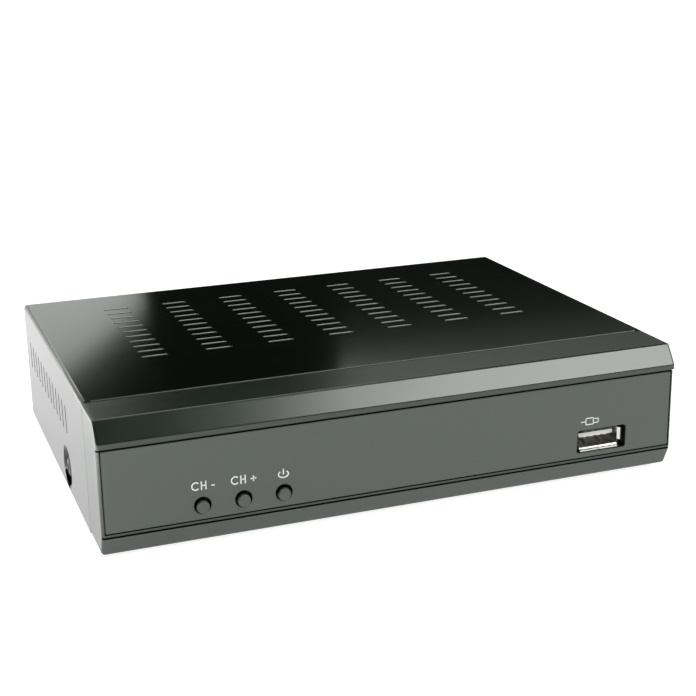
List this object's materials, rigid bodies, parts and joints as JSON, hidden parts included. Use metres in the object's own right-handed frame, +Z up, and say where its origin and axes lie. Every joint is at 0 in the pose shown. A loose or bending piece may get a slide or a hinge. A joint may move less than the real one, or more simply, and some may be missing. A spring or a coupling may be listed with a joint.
{
  "type": "satellite television receiver",
  "caption": "Compact satellite television receiver: folded steel cover and base, moulded bezel with round keys and a data port, and rear aerial, video and audio sockets and power switch.",
  "frame": {"origin": "on the surface the feet stand on, under the middle of the overall box", "axes": "+X to the right seen from the front, along the width; +Y from the front panel to the back; +Z up"},
  "size_m": [0.168, 0.1328, 0.039],
  "materials": {
    "painted_steel": "satin dark grey powder coat with a fine texture",
    "zinc_steel": "dark grey coated sheet steel",
    "bezel_plastic": "dark grey moulded plastic, fine satin texture",
    "panel_plastic": "dark grey satin panel that passes infrared",
    "key_plastic": "satin grey",
    "foot_rubber": "matt black",
    "screw_steel": "black oxide",
    "board_laminate": "green solder mask",
    "black_plastic": "black moulding",
    "white_plastic": "off-white moulding",
    "orange_plastic": "orange moulding",
    "rocker_plastic": "gloss black",
    "ribbon_plastic": "grey ribbon",
    "lamp_plastic": "clear red",
    "thermal_rubber": "soft grey pad",
    "nickel_steel": "bright nickel plating",
    "tinned_steel": "tinned sheet",
    "nickel_brass": "nickel plating",
    "contact_brass": "plated contacts",
    "sink_aluminium": "plain extruded",
    "can_aluminium": "bright can"
  },
  "bodies": {
    "casing": {"top_cover": "painted_steel", "base_chassis": "zinc_steel", "front_bezel": "bezel_plastic", "front_panel": "panel_plastic", "rubber_feet": "foot_rubber", "cover_screws": "screw_steel", "bezel_screws": "screw_steel", "front_board": "board_laminate", "front_board_screws": "screw_steel", "key_switches": "black_plastic", "remote_sensor": "black_plastic", "standby_lamp": "lamp_plastic", "data_port_shell": "nickel_steel", "data_port_housing": "white_plastic", "data_port_contacts": "contact_brass", "ribbon_headers": "white_plastic", "ribbon_cable": "ribbon_plastic", "main_board": "board_laminate", "board_standoffs": "contact_brass", "board_screws": "screw_steel", "main_chip": "black_plastic", "thermal_pad": "thermal_rubber", "heat_sink": "sink_aluminium", "memory_chips": "black_plastic", "regulator_chips": "black_plastic", "large_capacitors": "can_aluminium", "small_capacitors": "can_aluminium", "power_coils": "black_plastic", "crystals": "can_aluminium", "small_parts": "black_plastic", "tuner_can": "tinned_steel", "tuner_lid": "tinned_steel", "tuner_chip": "black_plastic", "dish_input_socket": "nickel_brass", "dish_output_socket": "nickel_brass", "aerial_insulators": "white_plastic", "aerial_contacts": "contact_brass", "aerial_nuts": "nickel_brass", "aerial_washers": "nickel_brass", "audio_socket_body": "orange_plastic", "audio_socket_ring": "nickel_brass", "audio_socket_core": "white_plastic", "audio_socket_contact": "contact_brass", "av_socket_housing": "black_plastic", "av_socket_contacts": "contact_brass", "av_socket_screws": "screw_steel", "video_socket_shell": "nickel_steel", "video_socket_tongue": "black_plastic", "video_socket_contacts": "contact_brass", "power_switch_housing": "black_plastic", "power_inlet_body": "black_plastic", "power_inlet_pin": "nickel_brass"},
    "channel_down_button": {"channel_down_key": "key_plastic", "channel_down_stem": "black_plastic"},
    "channel_up_button": {"channel_up_key": "key_plastic", "channel_up_stem": "black_plastic"},
    "standby_button": {"standby_key": "key_plastic", "standby_stem": "black_plastic"},
    "power_rocker": {"power_switch_rocker": "rocker_plastic"}
  },
  "joints": [
    {"name": "channel_down_press", "type": "slide", "parent": "casing", "child": "channel_down_button", "axis": [0, 1, 0], "range_m": [0, 0.0003], "stiffness_N_per_m": 2000, "springref_m": -0.0003},
    {"name": "channel_up_press", "type": "slide", "parent": "casing", "child": "channel_up_button", "axis": [0, 1, 0], "range_m": [0, 0.0003], "stiffness_N_per_m": 2000, "springref_m": -0.0003},
    {"name": "standby_press", "type": "slide", "parent": "casing", "child": "standby_button", "axis": [0, 1, 0], "range_m": [0, 0.0003], "stiffness_N_per_m": 2000, "springref_m": -0.0003},
    {"name": "power_rock", "type": "hinge", "parent": "casing", "child": "power_rocker", "pos_m": [-0.05955, 0.05455, 0.019], "axis": [1, 0, 0], "range_deg": [0, 20]}
  ]
}
